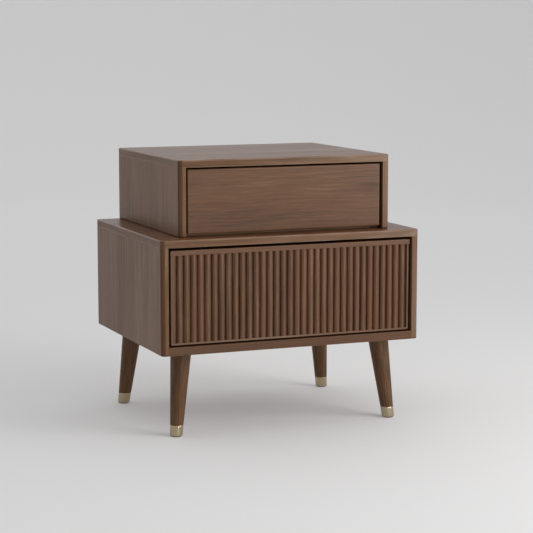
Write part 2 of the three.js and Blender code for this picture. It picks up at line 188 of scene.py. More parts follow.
# A paler copy of the side walnut for the right-hand boards, which face the lamp: painted light.
walnutPale = {
    **walnutSide,
    "dark": (0.086, 0.042, 0.019),
    "mid": (0.152, 0.076, 0.036),
    "light": (0.212, 0.115, 0.061),
    "wornAndHighlight": (0.225, 0.155, 0.115),
}
walnutFloor = {
    **walnut,
    "dark": (0.060, 0.026, 0.010),
    "mid": (0.108, 0.047, 0.018),
    "light": (0.158, 0.077, 0.034),
}
walnutFront = {
    **walnut,
    "drift": 0.006,
    "figure": (3.4, 15, 0.55),
    "streaks": (9, 330, 0.95),
    "fibres": (32, 1300, 0.5),
}
walnutReeds = {**walnutFront, "streaks": (9, 330, 1.4), "light": (0.205, 0.106, 0.053), "specular": 0.3}
walnutEdge = {**walnut, "mid": (0.17, 0.10, 0.058), "light": (0.23, 0.15, 0.095), "wearAndHighlight": 0.45}
legWood = {
    **walnut,
    "dark": (0.046, 0.020, 0.007),
    "mid": (0.092, 0.041, 0.0125),
    "light": (0.150, 0.074, 0.028),
    "red": (0.118, 0.048, 0.015),
    "figure": (3, 45, 0.6),
    "streaks": (5, 330, 1.3),
    "fibres": (20, 1300, 0.5),
    "roughness": (0.38, 0.50),
    "specular": 0.3,
    "coat": 0.0,
}
boxWood = {
    **walnut,
    "dark": (0.22, 0.125, 0.064),
    "mid": (0.31, 0.185, 0.10),
    "light": (0.39, 0.25, 0.145),
    "red": (0.33, 0.18, 0.095),
    "wornAndHighlight": (0.45, 0.32, 0.20),
    "figure": (1.6, 20, 0.6),
    "roughness": (0.5, 0.64),
    "coat": 0.0,
}

def woodMaterial(name, look, tinted=False):
    # Grain in layers, each a noise stretched along the board: broad figure that wanders, growth streaks,
    # fibres and short pores. Their sum picks the tone, and also sets the gloss and the relief.
    material, tree, shader = newMaterial(name, look["mid"], look["roughness"][1])
    shader.inputs["Specular IOR Level"].default_value = look["specular"]
    shader.inputs["Coat Weight"].default_value = look["coat"]
    if "upperGloss" in look:  # the faces that look up are polished further
        normal = tree.nodes.new("ShaderNodeTexCoord").outputs["Normal"]
        upwards = addNode(tree, "ShaderNodeSeparateXYZ", None, Vector=normal).outputs["Z"]
        for socket, low, high in (("Specular IOR Level", look["specular"], look["upperGloss"][0]),
                                  ("Coat Weight", look["coat"], look["upperGloss"][1])):
            tree.links.new(spread(tree, upwards, 0.55, 0.98, low, high), shader.inputs[socket])
        # the faces that do not look up, which get the painted shade
        wallShadeMask = spread(tree, upwards, 0.55, 0.98, 1.0, 0.0)
    shader.inputs["Coat Roughness"].default_value = look["roughness"][0]
    place = addNode(tree, "ShaderNodeAttribute", {"attribute_name": "grainPlace"}).outputs["Vector"]
    wandering = layer(tree, place, look["wander"], 2)
    wander = maths(tree, "MULTIPLY_ADD", wandering, look["drift"] * 2, -look["drift"])
    sideways = addNode(tree, "ShaderNodeCombineXYZ", None, Y=wander)
    drift = addNode(tree, "ShaderNodeVectorMath", {"operation": "ADD"}, i0=place, i1=sideways.outputs[0])
    drifted = drift.outputs[0]

    def stretched(key, detail, roughness=0.55):
        along, across, _ = look[key]
        return layer(tree, drifted, (along, across, across), detail, roughness)

    figure, streaks, fibres = stretched("figure", 2), stretched("streaks", 3, 0.6), stretched("fibres", 2)
    total = sum(look[key][2] for key in ("figure", "streaks", "fibres"))
    tone = maths(tree, "MULTIPLY_ADD", figure, look["figure"][2], 0.5 - total / 2)
    tone = maths(tree, "MULTIPLY_ADD", streaks, look["streaks"][2], tone)
    tone = maths(tree, "MULTIPLY_ADD", fibres, look["fibres"][2], tone, clamp=True)
    colour = toneRamp(tree, tone, [(0.22, look["dark"]), (0.5, look["mid"]), (0.8, look["light"])])

    redness = spread(tree, stretched("redBands", 1, 0.5), 0.42, 0.68, 0.0, look["redBands"][2])
    if tinted:  # each reed has its own tint
        own = addNode(tree, "ShaderNodeAttribute", {"attribute_name": "reedTint"}).outputs["Fac"]
        redness = maths(tree, "MULTIPLY_ADD", own, 0.3, redness, clamp=True)
        colour = blendColours(tree, own, colour, (0.80, 0.84, 0.76), "MULTIPLY")
    colour = blendColours(tree, redness, colour, look["red"])

    pores = spread(tree, stretched("pores", 1, 0.5), 0.62, 0.72, 0.0, 1.0)
    colour = blendColours(tree, maths(tree, "MULTIPLY", pores, look["pores"][2]), colour, look["dark"])
    edge = addNode(tree, "ShaderNodeAttribute", {"attribute_name": "edgeWearHighlightShade"}).outputs["Fac"]
    paleEdgeNoise = spread(tree, layer(tree, place, look["paleEdgeNoiseScale"], 3), 0.35, 0.7, 0.35, 1.0)
    wornAndHighlight = maths(tree, "POWER", maths(tree, "MAXIMUM", edge, 0.0), 2.0)
    wearAndHighlight = maths(tree, "MULTIPLY", maths(tree, "MULTIPLY", wornAndHighlight, paleEdgeNoise, clamp=True), look["wearAndHighlight"])
    # pale edges: rubbed wear, and a painted highlight along the rounded edges
    colour = blendColours(tree, wearAndHighlight, colour, look["wornAndHighlight"])
    # painted shade: edges with a negative tone turn towards the dark colour, at the dark corner rounds and at
    # the foot of the side boards; shade sets how far
    paintedEdgeShade = maths(tree, "MULTIPLY", spread(tree, edge, -1.0, 0.0, 0.42, 0.0), look["shade"])
    colour = blendColours(tree, paintedEdgeShade, colour, look["dark"])
    # painted shade: the faces that do not look up are darkened, so the top reads as lit from above
    if "upperGloss" in look:
        colour = blendColours(tree, wallShadeMask, colour, look["paintedWallShade"], "MULTIPLY")
    tree.links.new(colour, shader.inputs["Base Color"])

    gloss = spread(tree, tone, 0.2, 0.8, look["roughness"][1], look["roughness"][0])
    gloss = maths(tree, "MULTIPLY_ADD", wearAndHighlight, -0.12, gloss)
    tree.links.new(maths(tree, "MULTIPLY_ADD", pores, 0.15, gloss), shader.inputs["Roughness"])
    height = maths(tree, "MULTIPLY_ADD", pores, -1.0, tone)
    bump = addNode(tree, "ShaderNodeBump", None, Strength=look["bump"], Distance=0.15 * mm, Height=height)
    tree.links.new(bump.outputs[0], shader.inputs["Normal"])
    return material


# Metals and plastic
def place3d(tree, ownPlace):
    # Where a point lies in the material: in the piece's own grain, or in the object's frame on a CAD node.
    if ownPlace:
        return addNode(tree, "ShaderNodeAttribute", {"attribute_name": "grainPlace"}).outputs["Vector"]
    return tree.nodes.new("ShaderNodeTexCoord").outputs["Object"]


def metalMaterial(name, look, ownPlace=True):
    # Metal with fine brushed lines, slow clouding of the gloss and a colour that shifts a little with it.
    material, tree, shader = newMaterial(name, look["colour"], look["roughness"][0], 1.0)
    place = place3d(tree, ownPlace)
    lines = layer(tree, place, look["brush"], 2)
    clouds = layer(tree, place, look["clouds"], 3)
    colour = blendColours(tree, clouds, look["colour"], look["shade"])
    tree.links.new(colour, shader.inputs["Base Color"])
    rough = spread(tree, lines, 0.3, 0.7, *look["roughness"])
    tree.links.new(maths(tree, "MULTIPLY_ADD", clouds, 0.08, rough), shader.inputs["Roughness"])
    bump = addNode(tree, "ShaderNodeBump", None, Strength=look["bump"], Distance=0.05 * mm, Height=lines)
    tree.links.new(bump.outputs[0], shader.inputs["Normal"])
    return material


def plasticMaterial(name, look, ownPlace=False):
    # Moulded plastic: a fine pebbled skin, with the gloss varying slowly over it.
    material, tree, shader = newMaterial(name, look["colour"], look["roughness"][0])
    place = place3d(tree, ownPlace)
    skin = layer(tree, place, look["skin"], 2)
    clouds = layer(tree, place, look["clouds"], 2)
    tree.links.new(blendColours(tree, clouds, look["colour"], look["shade"]), shader.inputs["Base Color"])
    tree.links.new(spread(tree, clouds, 0.3, 0.7, *look["roughness"]), shader.inputs["Roughness"])
    bump = addNode(tree, "ShaderNodeBump", None, Strength=look["bump"], Distance=0.08 * mm, Height=skin)
    tree.links.new(bump.outputs[0], shader.inputs["Normal"])
    return material


brass = {
    "colour": (0.48, 0.395, 0.265),
    "shade": (0.39, 0.315, 0.205),
    "brush": (3000, 40, 40),
    "clouds": (55, 55, 55),
    "roughness": (0.13, 0.21),
    "bump": 0.10,
}
zinc = {
    "colour": (0.56, 0.57, 0.58),
    "shade": (0.44, 0.45, 0.47),
    "brush": (60, 2600, 2600),
    "clouds": (55, 55, 55),
    "roughness": (0.24, 0.40),
    "bump": 0.1,
}
blackPlastic = {
    "colour": (0.016, 0.015, 0.014),
    "shade": (0.028, 0.026, 0.024),
    "skin": (1800, 1800, 1800),
    "clouds": (40, 40, 40),
    "roughness": (0.42, 0.58),
    "bump": 0.2,
}

finishes = {
    "walnut": (woodMaterial("oiled walnut", walnut), "walnut"),
    "walnutTop": (woodMaterial("oiled walnut top", walnutTop), "walnut"),
    "walnutSide": (woodMaterial("oiled walnut sides", walnutSide), "walnut"),
    "walnutSideUpper": (woodMaterial("oiled walnut upper side", walnutSideUpper), "walnut"),
    "walnutPale": (woodMaterial("paler walnut side", walnutPale), "walnut"),
    "walnutFloor": (woodMaterial("oiled walnut floor board", walnutFloor), "walnut"),
    "walnutFront": (woodMaterial("oiled walnut front", walnutFront), "walnut_front"),
    "walnutReeds": (woodMaterial("oiled walnut reeds", walnutReeds, tinted=True), "walnut_front"),
    "walnutEdge": (woodMaterial("walnut edge strip", walnutEdge), "walnut_edge"),
    "legWood": (woodMaterial("dark walnut legs", legWood), "leg_wood"),
    "boxWood": (woodMaterial("drawer box wood", boxWood), "box_wood"),
    "brass": (metalMaterial("brushed pale brass", brass), "brass"),
    "zinc": (metalMaterial("zinc plated steel", zinc), "steel"),
    "blackPlastic": (plasticMaterial("black moulded plastic", blackPlastic, True), "black_plastic"),
}
print("materials:", len(finishes))


# Meshes
# an outline lies in the first two axes, and its thickness is along the third
axesRising = {"x": (1, 2, 0), "y": (2, 0, 1), "z": (0, 1, 2)}


def makePiece(name, points, faces, grain, edge, finish, nodes, tint=None):
    # Puts points and faces into a mesh. grain holds one place in the wood for each face corner, in the order
    # of the faces, and edge says how each point's edge is: 1 rubbed pale, as wear and as a painted highlight
    # on rounded edges, 0 plain, -1 darkened with painted shade.
    mesh = bpy.data.meshes.new(name)
    mesh.from_pydata(np.asarray(points).tolist(), [], faces)
    mesh.attributes.new("grainPlace", "FLOAT_VECTOR", "CORNER").data.foreach_set(
        "vector", np.asarray(grain, np.float32).ravel())
    mesh.attributes.new("edgeWearHighlightShade", "FLOAT", "POINT").data.foreach_set("value", np.asarray(edge, np.float32))
    if tint is not None:
        own = mesh.attributes.new("reedTint", "FLOAT", "POINT")
        own.data.foreach_set("value", np.asarray(tint, np.float32))
    mesh.shade_smooth()
    mesh.set_sharp_from_angle(angle=math.radians(38))
    material, slotName = finishes[finish]
    mesh.materials.append(material)
    piece = bpy.data.objects.new(name, mesh)
    bpy.context.scene.collection.objects.link(piece)
    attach(piece, bodyOf[nodes[0]])
    return piece


def standIn(name, nodes, *shape, **more):
    # A finished piece that takes the place of CAD nodes.
    piece = makePiece(name, *shape, nodes, **more)
    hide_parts(*nodes)
    return piece


def ringQuads(rings, count):
    # Quads between neighbouring rings of a closed outline that runs counter-clockwise.
    i = np.arange(rings - 1)[:, None] * count
    j = np.arange(count)[None, :]
    k = (j + 1) % count
    return np.stack([i + j, i + k, i + count + k, i + count + j], axis=-1).reshape(-1, 4)


def cornerPairs(rings, count):
    # Ring and step of each corner of those quads, with the last step not wrapped round to the first.
    i, j = np.meshgrid(np.arange(rings - 1), np.arange(count), indexing="ij")
    ring = np.stack([i, i, i + 1, i + 1], axis=-1).ravel()
    step = np.stack([j, j + 1, j + 1, j], axis=-1).ravel()
    return ring, step


def roundedOutline(low, high, radii, inset, hold, steps=4):
    # A rectangle moved in by inset, each corner a quarter circle: centre + r (cos t, sin t). A point stands
    # on either side of each arc, so that only the corner is shaded round.
    signs = np.array([(-1, -1), (1, -1), (1, 1), (-1, 1)])
    corner = np.where(signs < 0, low, high)
    r = np.maximum(np.asarray(radii, float) - inset, 0.02 * mm)[:, None]
    centre = corner - signs * (inset + r)
    t = np.radians([180, 270, 0, 90])[:, None] + np.linspace(0, np.pi / 2, steps + 1)
    arc = centre[:, None] + r[:, None] * np.stack([np.cos(t), np.sin(t)], axis=-1)
    tangent = np.stack([-np.sin(t), np.cos(t)], axis=-1)
    before = arc[:, :1] - hold * tangent[:, :1]
    after = arc[:, -1:] + hold * tangent[:, -1:]
    return np.concatenate([before, arc, after], axis=1).reshape(-1, 2)


def edgeProfile(thickness, lowEdge, highEdge, hold, steps=4):
    # Inset and height of each ring from the lower face to the upper one: a quarter circle at either edge,
    # inset = e (1 - cos t), height = e (1 + sin t), with a ring just beyond each end of it.
    t = np.linspace(-np.pi / 2, 0, steps + 1)
    low = np.stack([lowEdge * (1 - np.cos(t)), lowEdge * (1 + np.sin(t))], axis=-1)
    high = np.stack([highEdge * (1 - np.cos(t)), highEdge * (1 + np.sin(t))], axis=-1)[::-1]
    high[:, 1] = thickness - high[:, 1]
    rows = np.concatenate([
        [(lowEdge + hold, 0.0)], low, [(0.0, lowEdge + hold)],
        [(0.0, thickness - highEdge - hold)], high, [(highEdge + hold, thickness)],
    ])
    wornAndHighlight = np.zeros(len(rows))
    wornAndHighlight[1:steps + 2] = 1
    wornAndHighlight[-steps - 2:-1] = 1
    return rows, wornAndHighlight


def boardShape(low, high, rising, radii=(0.5,) * 4, edges=(0.5, 0.5), faceGrain="x", wallGrain="round",
               bends=((0, 0, 0),) * 4, rims=(1, 1)):
    # A board between two corners. Its outline lies square to the rising axis, with four corner radii, and its
    # two faces end in rounded edges. The faces show the grain along faceGrain; the walls carry it
    # round the outline, or straight through from one face to the other. Radii and edges are in mm. bends are
    # the tones before, on and after each corner, and rims those of the two rounded edges: a positive tone is
    # pale wear that also paints a highlight, a negative one is painted shade.
    a, b, c = axesRising[rising]
    low, high = np.array(low), np.array(high)
    size = (high - low)[[a, b, c]]
    hold = min(1.2 * mm, size.min() / 5)
    steps = 4
    profile, rimWearAndShade = edgeProfile(size[2], edges[0] * mm, edges[1] * mm, hold, steps)
    radii = np.array(radii) * mm
    outline = np.stack([roundedOutline(low[[a, b]], high[[a, b]], radii, inset, hold, steps)
                        for inset in profile[:, 0]])
    rings, count = outline.shape[:2]
    points = np.empty((rings, count, 3))
    points[..., a] = outline[..., 0]
    points[..., b] = outline[..., 1]
    points[..., c] = low[c] + profile[:, 1][:, None]
    # the rounded corners are painted pale: wear, and a painted highlight
    cornerWearAndHighlight = np.tile([0] + [1] * (steps + 1) + [0], 4) * (np.repeat(radii, steps + 3) > 0.8 * mm)
    rimWearAndShade[:rings // 2] *= rims[0]
    rimWearAndShade[rings // 2:] *= rims[1]
    inWall = (profile[:, 0] < min(edges) * mm + 1e-9)[:, None]
    edge = np.where(rimWearAndShade[:, None] != 0, rimWearAndShade[:, None], cornerWearAndHighlight[None, :] * inWall)
    # each corner can have its own tones just before its round, on it, and just after it: a negative tone is
    # painted shade, a positive one pale wear that also paints a highlight
    bend = np.concatenate([[before] + [on] * (steps + 1) + [after] for before, on, after in bends])
    edge = np.where((bend != 0) & inWall & ((rimWearAndShade[:, None] == 0) | (bend < 0)), bend, edge)

    # grain: the length along the outline, counted so that it runs on from the faces
    plain = roundedOutline(low[[a, b]], high[[a, b]], radii, 0.0, hold, steps)
    stretch = np.linalg.norm(np.diff(np.vstack([plain, plain[:1]]), axis=0), axis=1)
    length = np.concatenate([[0], np.cumsum(stretch)])
    grainFirst = axesRising[rising][0] == "xyz".index(faceGrain)
    flat = points.reshape(-1, 3)
    quads = ringQuads(rings, count)
    ring, step = cornerPairs(rings, count)
    along, across = ("xyz".index(faceGrain), b if grainFirst else a)
    cornerPoints = flat[quads.ravel()]
    offset = plain[0, 0]
    fold = low[b] - high[c]
    if wallGrain == "round":
        wall = np.stack([length[step] + offset, cornerPoints[:, c] + fold, 0 * step], axis=-1)
    else:
        wall = np.stack([cornerPoints[:, c], length[step], 0 * step], axis=-1)
    face = np.stack([cornerPoints[:, along], cornerPoints[:, across], 0 * step], axis=-1)
    quadRing = np.repeat(ring.reshape(-1, 4)[:, 0], 4)
    onFace = (quadRing <= steps // 2) | (quadRing >= rings - 2 - steps // 2)
    grain = np.where(onFace[:, None], face, wall)
    caps = [np.arange(count)[::-1], np.arange(count) + (rings - 1) * count]
    capPoints = flat[np.concatenate(caps)]
    capGrain = np.stack([capPoints[:, along], capPoints[:, across], np.zeros(2 * count)], axis=-1)
    grain = np.concatenate([grain, capGrain]) + chance.uniform(0, 9, 3)
    faces = quads.tolist() + [cap.tolist() for cap in caps]
    return flat, faces, grain, edge.ravel()


def carriedShape(outline, rising, start, end, grainRound=False):
    # A closed outline (counter-clockwise, in the first two axes of the rising one) carried straight from
    # start to end and closed there. Its grain runs along it, or round it.
    a, b, c = axesRising[rising]
    hold = min(0.4 * mm, (end - start) / 4)
    levels = np.array([start, start + hold, end - hold, end])
    rings, count = 4, len(outline)
    points = np.empty((rings, count, 3))
    points[..., a], points[..., b] = outline[:, 0], outline[:, 1]
    points[..., c] = levels[:, None]
    flat = points.reshape(-1, 3)
    quads = ringQuads(rings, count)
    ring, step = cornerPairs(rings, count)
    stretch = np.linalg.norm(np.diff(np.vstack([outline, outline[:1]]), axis=0), axis=1)
    length = np.concatenate([[0], np.cumsum(stretch)])
    pair = [levels[ring], length[step]]
    grain = np.stack((pair[::-1] if grainRound else pair) + [0 * step], axis=-1)
    caps = [np.arange(count)[::-1], np.arange(count) + (rings - 1) * count]
    capPoints = flat[np.concatenate(caps)]
    grain = np.concatenate([grain, capPoints[:, [c, a, b]]]) + chance.uniform(0, 9, 3)
    return flat, quads.tolist() + [cap.tolist() for cap in caps], grain, np.zeros(len(flat))


def turnedShape(profile, axisAt, segments=64, wearAndHighlight=None):
    # A profile of radius and height turned about an axis that leans: the ring at height z stands round the
    # point axisAt(z), and stays level. The first and the last ring are closed with a face.
    profile = np.asarray(profile, float)
    t = np.linspace(0, 2 * np.pi, segments, endpoint=False)
    circle = np.stack([np.cos(t), np.sin(t)], axis=-1)
    straight = profile[:, 0][:, None, None] * circle
    height = np.broadcast_to(profile[:, 1][:, None, None], (len(profile), segments, 1))
    upright = np.concatenate([straight, height], axis=-1)
    lean = np.stack([axisAt(z) for z in profile[:, 1]])
    points = upright.copy()
    points[..., :2] += lean[:, None]
    quads = ringQuads(len(profile), segments)
    caps = [np.arange(segments)[::-1], np.arange(segments) + (len(profile) - 1) * segments]
    order = np.concatenate([quads.ravel(), *caps])
    grain = upright.reshape(-1, 3)[order][:, [2, 0, 1]] + chance.uniform(0, 9, 3)
    edge = np.repeat(np.zeros(len(profile)) if wearAndHighlight is None else wearAndHighlight, segments)
    return points.reshape(-1, 3), quads.tolist() + [cap.tolist() for cap in caps], grain, edge


def filleted(corners, radii, steps=4):
    # An outline with each corner replaced by an arc that touches both sides: the arc's centre stands on the
    # bisector, r / sin(half the corner's angle) from the corner.
    corners = np.asarray(corners, float)
    r = np.broadcast_to(np.asarray(radii, float), len(corners))[:, None]
    before, after = np.roll(corners, 1, 0) - corners, np.roll(corners, -1, 0) - corners
    before /= np.linalg.norm(before, axis=1, keepdims=True)
    after /= np.linalg.norm(after, axis=1, keepdims=True)
    half = np.arccos(np.clip((before * after).sum(1), -1, 1))[:, None] / 2
    middle = (before + after) / np.linalg.norm(before + after, axis=1, keepdims=True)
    centre = corners + middle * r / np.sin(half)
    first, last = corners + before * r / np.tan(half) - centre, corners + after * r / np.tan(half) - centre
    start = np.arctan2(first[:, 1], first[:, 0])
    turn = np.arctan2(last[:, 1], last[:, 0]) - start
    turn = (turn + np.pi) % (2 * np.pi) - np.pi
    t = start[:, None] + turn[:, None] * np.linspace(0, 1, steps + 1)
    return (centre[:, None] + r[:, None] * np.stack([np.cos(t), np.sin(t)], axis=-1)).reshape(-1, 2)


def boxOf(node):
    low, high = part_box(node)
    return np.array(low), np.array(high)


# The two boxes
carcass = {
    "frontCorner": 8.0,
    "rearCorner": 4.0,
    "topEdge": 2.6,
    # Corner tones for boardShape: the negative ones darken the front-left rounds with painted shade; the
    # positive ones paint the walls beside the corners and the front-right rounds pale, as wear and as a
    # painted highlight.
    "topBends": ((0.5, -0.9, 0.1), (0.98, 0.8, 0.5), (0, 0, 0), (0, 0, 0)),
    "leftBends": ((0.6, -0.6, 0.9), (0.88, 0.88, 0), (0, 0, 0), (0, 0, 0)),
    "rightBends": ((0, 0.8, 0.8), (0.86, 0.95, 0.7), (0, 0, 0), (0, 0, 0)),
    "butt": 0.35,  # the small round that shows where two boards meet
    "innerCorner": 0.6,
    "lowerEdge": 2.2,
    "panelCorner": 0.5,
    "panelEdges": (0.5, 0.5),
    "floorCorner": 0.3,
    "lowerFloorEdges": (0.8, 0.6),
    "upperFloorEdges": (0.4, 0.6),
}


def addTopBoard(key):
    f, r = carcass["frontCorner"], carcass["rearCorner"]
    node = f"{key}_top_panel"
    shape = boardShape(*boxOf(node), "z", (f, f, r, r), (carcass["butt"], carcass["topEdge"]), "x", "round",
                       carcass["topBends"])
    return standIn(f"{key}TopBoard", [node], *shape, "walnutTop")


def addSideBoard(key, side):
    # Outer corners rounded, inner ones nearly square. The outline starts at the low corner of x and y.
    f, r, i = carcass["frontCorner"], carcass["rearCorner"], carcass["innerCorner"]
    node = f"{key}_{side}_side"
    radii = (f, i, i, r) if side == "left" else (i, f, r, i)
    edges = (carcass["lowerEdge"], carcass["butt"])
    # painted shade: the lower rounded edge of each side board is darkened, as the shadow line at its foot
    shape = boardShape(*boxOf(node), "z", radii, edges, "y", "through", carcass[f"{side}Bends"], (-1, 1))
    finish = {"upperleft": "walnutSideUpper", "lowerleft": "walnutSide"}.get(key + side, "walnutPale")
    return standIn(f"{key}{side.title()}Board", [node], *shape, finish)


def addPanels():
    for key in ("upper", "lower"):
        addTopBoard(key)
        for side in ("left", "right"):
            addSideBoard(key, side)
        node = f"{key}_back_panel"
        corners = (carcass["panelCorner"],) * 4
        shape = boardShape(*boxOf(node), "y", corners, carcass["panelEdges"], "z", "round")
        standIn(f"{key}BackBoard", [node], *shape, "boxWood")
    corners = (carcass["floorCorner"],) * 4
    shape = boardShape(*boxOf("lower_bottom_panel"), "z", corners, carcass["lowerFloorEdges"], "x", "round")
    standIn("lowerFloorBoard", ["lower_bottom_panel"], *shape, "walnutFloor")
    shape = boardShape(*boxOf("upper_bottom_panel"), "z", corners, carcass["upperFloorEdges"], "x", "round")
    standIn("upperFloorBoard", ["upper_bottom_panel"], *shape, "boxWood")


addPanels()
print("boxes done")


# Legs
legs = {
    "shoulder": 0.35,
    "rimRound": 0.35,
    "footRound": 0.7,
    "footLip": 0.5,  # how far the cup's foot turns in past its round
    "wall": 1.2,
    "tenonGap": 0.3,
    "rings": 14,
    "segments": 72,
    "glideRound": 0.5,
    "glideSegments": 48,
}


def addLeg(place):
    # The axis runs through the middle of the glide and the middle of the stud, so both give its lean.
    glideLow, glideHigh = boxOf(f"glide_{place}")
    studLow, studHigh = boxOf(f"stud_{place}")
    legLow, legHigh = boxOf(f"leg_{place}")
    ferruleLow, ferruleHigh = boxOf(f"ferrule_{place}")
    foot, head = (glideLow + glideHigh) / 2, (studLow + studHigh) / 2

    def axisAt(z):
        return foot[:2] + (head - foot)[:2] * (z - foot[2]) / (head[2] - foot[2])

    outward = np.sign(head[:2])
    top, ankleZ, ferruleFoot = legHigh[2], ferruleHigh[2], ferruleLow[2]
    inner = legHigh[0] if outward[0] < 0 else legLow[0]
    topRadius = abs(inner - axisAt(top)[0])
    outer = ferruleLow[0] if outward[0] < 0 else ferruleHigh[0]
    footRound = legs["footRound"] * mm
    footRadius = abs(outer - axisAt(ferruleFoot + footRound)[0])
    innerFerrule = ferruleHigh[0] if outward[0] < 0 else ferruleLow[0]
    ankle = abs(innerFerrule - axisAt(ankleZ)[0])
    wall, tenon = legs["wall"] * mm, (legs["wall"] + legs["tenonGap"]) * mm
    shoulder, rim = legs["shoulder"] * mm, legs["rimRound"] * mm

    def radiusAt(z):
        return ankle + (topRadius - ankle) * (z - ankleZ) / (top - ankleZ)

    body = np.linspace(ankleZ + 2 * shoulder, top - shoulder, legs["rings"])
    profile = [(footRadius - tenon, ferruleFoot + wall), (ankle - tenon, ankleZ), (ankle - shoulder, ankleZ),
               (radiusAt(ankleZ + shoulder), ankleZ + shoulder)]
    profile += [(radiusAt(z), z) for z in body] + [(topRadius, top)]
    wearAndHighlight = np.zeros(len(profile))
    wearAndHighlight[2:4] = 1
    shape = turnedShape(profile, axisAt, legs["segments"], wearAndHighlight)
    standIn(f"leg_{place}_wood", [f"leg_{place}"], *shape, "legWood")

    # ferrule: a cup with a rounded foot and a rounded rim
    t = np.linspace(-np.pi / 2, 0, 6)
    lowRound = np.stack([footRadius - footRound + footRound * np.cos(t),
                         ferruleFoot + footRound + footRound * np.sin(t)], -1)
    t = np.linspace(0, np.pi / 2, 4)
    rimRound = np.stack([ankle - rim + rim * np.cos(t), ankleZ - rim + rim * np.sin(t)], -1)
    side = np.linspace(lowRound[-1], rimRound[0], 6)[1:-1]
    cup = [(footRadius - footRound - legs["footLip"] * mm, ferruleFoot), *lowRound, *side, *rimRound,
           (ankle - wall, ankleZ), (footRadius - wall, ferruleFoot + wall)]
    shape = turnedShape(cup, axisAt, legs["segments"])
    standIn(f"ferrule_{place}_cup", [f"ferrule_{place}"], *shape, "brass")

    # glide: a plain disc with softened edges
    r, soft = glideHigh[0] - foot[0], legs["glideRound"] * mm
    r -= abs(axisAt(glideHigh[2])[0] - foot[0])
    t = np.linspace(0, np.pi / 2, 4)
    lowRound = np.stack([r - soft + soft * np.sin(t), soft - soft * np.cos(t)], -1)
    disc = [(r - 2 * soft, 0.0), *lowRound, (r, glideHigh[2])]
    shape = turnedShape(disc, axisAt, legs["glideSegments"])
    standIn(f"glide_{place}_disc", [f"glide_{place}"], *shape, "blackPlastic")


for place in ("front_left", "front_right", "back_left", "back_right"):
    addLeg(place)
print("legs done")


# Drawer fronts
fronts = {
    "slabCorner": 1.2,
    "slabEdge": 2.6,
    "backEdge": 0.6,
    "coreEdge": 0.4,
    "railEdge": 1.0,
    "railBackEdge": 0.3,
    "stripRound": 1.6,
    "stripCorner": 0.3,
    "reedPitch": 15.8,
    "reedGroove": 2.2,
    "reedStart": 2.4,
    "reedSteps": 20,
    "reedTint": 0.8,
}


def addUpperFront():
    c, e = fronts["slabCorner"], fronts["slabEdge"]
    shape = boardShape(*boxOf("upper_drawer_front"), "y", (c,) * 4, (e, fronts["backEdge"]), "x", "round")
    standIn("upperDrawerSlab", ["upper_drawer_front"], *shape, "walnutFront")


def addLowerFront():
    c = fronts["coreEdge"]
    shape = boardShape(*boxOf("lower_drawer_core"), "y", (c,) * 4, (c, fronts["backEdge"]), "x", "round")
    standIn("lowerDrawerCore", ["lower_drawer_core"], *shape, "walnut")
    e, back = fronts["railEdge"], fronts["railBackEdge"]
    shape = boardShape(*boxOf("lower_drawer_top_rail"), "y", (e,) * 4, (e, back), "x", "round")
    standIn("lowerDrawerRail", ["lower_drawer_top_rail"], *shape, "walnutFront")
    addEdgeStrip()
    addReeds()


def addEdgeStrip():
    # The strip's section (inwards from its outer edge, forwards from its back) carried down the left side,
    # along the bottom and up the right side, mitred at the two corners.
    low, high = boxOf("lower_drawer_edge_strip")
    sheetLow = boxOf("lower_drawer_fluted_sheet")[0]
    width, depth = sheetLow[0] - low[0], high[1] - low[1]
    r, small = fronts["stripRound"] * mm, fronts["stripCorner"] * mm
    section = filleted([(0, 0), (width, 0), (width, depth), (0, depth)], [small, small, small, r], 5)
    count = len(section)
    inwards, forwards = section[:, 0], section[:, 1]
    stations = np.array([(low[0], high[2]), (low[0], low[2]), (high[0], low[2]), (high[0], high[2])])
    slides = np.array([(1, 0), (1, 1), (-1, 1), (-1, 0)])  # the way inwards: square at an end, else mitred
    x = stations[:, 0][:, None] + slides[:, 0][:, None] * inwards
    z = stations[:, 1][:, None] + slides[:, 1][:, None] * inwards
    y = np.broadcast_to(high[1] - forwards, x.shape)
    points = np.stack([x, y, z], axis=-1)
    flat = points.reshape(-1, 3)
    quads = ringQuads(len(stations), count)
    ring, step = cornerPairs(len(stations), count)
    run = np.concatenate([[0], np.cumsum(np.linalg.norm(np.diff(stations, axis=0), axis=1))])
    stretch = np.linalg.norm(np.diff(np.vstack([section, section[:1]]), axis=0), axis=1)
    length = np.concatenate([[0], np.cumsum(stretch)])
    grain = np.stack([run[ring], length[step], 0 * step], axis=-1)
    caps = [np.arange(count)[::-1], np.arange(count) + (len(stations) - 1) * count]
    capPoints = flat[np.concatenate(caps)]
    grain = np.concatenate([grain, capPoints[:, [2, 0, 1]]]) + chance.uniform(0, 9, 3)
    # the round on the strip's inner front edge is painted pale: wear, and a painted highlight
    wornAndHighlight = np.tile((forwards > depth - r) & (inwards < r), len(stations)) * 1.0
    faces = quads.tolist() + [cap.tolist() for cap in caps]
    standIn("lowerDrawerEdgeStrip", ["lower_drawer_edge_strip"], flat, faces, grain, wornAndHighlight, "walnutEdge")


